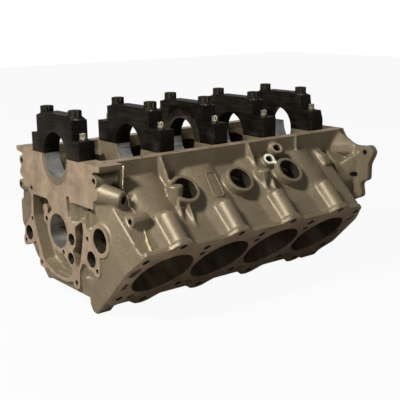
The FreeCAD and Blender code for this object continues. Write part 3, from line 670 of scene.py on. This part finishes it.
WASHER_THICK = 0.0025
for number, place in enumerate(MAINS, start=1):
    seat_height, inner_across = inner_seat(number)
    outer_seat = {1: 0.033, 5: 0.040}.get(number, 0.039)
    for kind, y, size, seat, head, tall, depth in (
            ("inner", inner_across, 0.00635, seat_height, 0.0122, 0.014, 0.040),
            ("outer", 0.074 if number == 1 else 0.086, 0.00475, outer_seat, 0.0062, 0.010, 0.026)):
        under = seat + WASHER_THICK
        shank = [(size - 0.001, -depth), (size, -depth + 0.001), (size, under)]
        flange = [(head, under), (head, under + 0.16 * tall)]
        points = [(head * 0.97, under + 0.22 * tall), (head * 0.97, under + tall * 0.96)]
        top = [(head * 0.80, under + tall), (head * 0.45, under + tall), (head * 0.38, under + tall * 0.93)]
        bolts = joined(f"{kind}_cap_bolts_{number}", [
            turned("bolt", shank + flange + points + top, Matrix.Translation((place, bank * y, 0)), 72,
                   twelve_points) for bank in BANKS])
        bolts.data.materials.append(bolt_finishes[kind])
        bolts.data.shade_smooth()
        bolts.data.set_sharp_from_angle(angle=math.radians(28))
        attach(bolts, "root")
        "bolt_steel" if kind == "inner" else "bright_bolt"
        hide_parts(f"{kind}_bolts_{number}")
        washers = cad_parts[f"{kind}_washers_{number}"]
        washers.data.materials.clear()
        washers.data.materials.append(washer_finish)


# ---------------------------------------------------------------- studio
# A white floor and backdrop. A soft key lamp stands high ahead of the block's front, and a weak
# one low on the forward side. The floor mixes its shadow into plain white for the camera.
white = Finish("white_floor", 0.0, 0.9)
white.shader.inputs["Base Color"].default_value = (0.30, 0.29, 0.28, 1)
glow = white.node("ShaderNodeEmission", {}, {"Color": (1, 1, 1, 1), "Strength": 1.0})
ray = white.node("ShaderNodeLightPath", {}, {}, "Is Camera Ray")
shaded = Sock(white, white.shader.outputs[0])
faded = white.node("ShaderNodeMixShader", {}, {0: ray * 0.94, 1: shaded, 2: glow})
white.tree.links.new(faded.socket, white.tree.nodes["Material Output"].inputs["Surface"])
floor = mesh_object("floor", [(-6, -6, 0), (6, -6, 0), (6, 6, 0), (-6, 6, 0)], [(0, 1, 2, 3)],
                    Matrix.Translation((0, 0, cad_box[0][2])))
floor.data.materials.append(white.material)

# Reflections take only part of the backdrop's white, so that dark steel stays dark.
GLOSSY_SHARE = 0.25
world = bpy.data.worlds.new("studio")
bpy.context.scene.world = world
world.use_nodes = True
nodes, links = world.node_tree.nodes, world.node_tree.links
seen = nodes.new("ShaderNodeLightPath")
either = nodes.new("ShaderNodeMath")
either.operation = "MAXIMUM"
links.new(seen.outputs["Is Camera Ray"], either.inputs[0])
links.new(seen.outputs["Is Transmission Ray"], either.inputs[1])
glossy = nodes.new("ShaderNodeMath")
glossy.operation = "MULTIPLY_ADD"
glossy.inputs[1].default_value = GLOSSY_SHARE
links.new(seen.outputs["Is Glossy Ray"], glossy.inputs[0])
links.new(either.outputs[0], glossy.inputs[2])
lit, shown, mixed = nodes["Background"], nodes.new("ShaderNodeBackground"), nodes.new("ShaderNodeMixShader")
lit.inputs["Color"].default_value = (1.0, 0.97, 0.92, 1)
lit.inputs["Strength"].default_value = 0.05
shown.inputs["Color"].default_value = (1, 1, 1, 1)
links.new(glossy.outputs[0], mixed.inputs[0])
links.new(lit.outputs[0], mixed.inputs[1])
links.new(shown.outputs[0], mixed.inputs[2])
links.new(mixed.outputs[0], nodes["World Output"].inputs["Surface"])


def lamp(name, place, power, size, tint):
    """A square soft lamp that points at the middle of the block."""
    light = bpy.data.lights.new(name, "AREA")
    light.energy, light.size, light.color = power, size, tint
    thing = bpy.data.objects.new(name, light)
    thing.matrix_world = facing(Vector(place), place)
    bpy.context.scene.collection.objects.link(thing)


lamp("key_lamp", (-1.9, -0.25, 1.8), 150, 0.5, (1.0, 0.96, 0.88))
lamp("low_lamp", (-1.0, -2.1, -0.2), 14, 0.3, (1.0, 0.93, 0.82))

camera = bpy.data.objects.new("camera", bpy.data.cameras.new("camera"))
camera.data.lens = 72.41
right, up = Vector((0.78537232, -0.61885762, -0.01433744)), Vector((0.15303027, 0.17165914, 0.97319827))
turn = Matrix((right, up, right.cross(up))).transposed().to_4x4()
camera.matrix_world = Matrix.Translation((-0.951253, -1.252699, 0.244162)) @ turn
bpy.context.scene.collection.objects.link(camera)
bpy.context.scene.camera = camera
bpy.context.scene.view_settings.view_transform = "Standard"
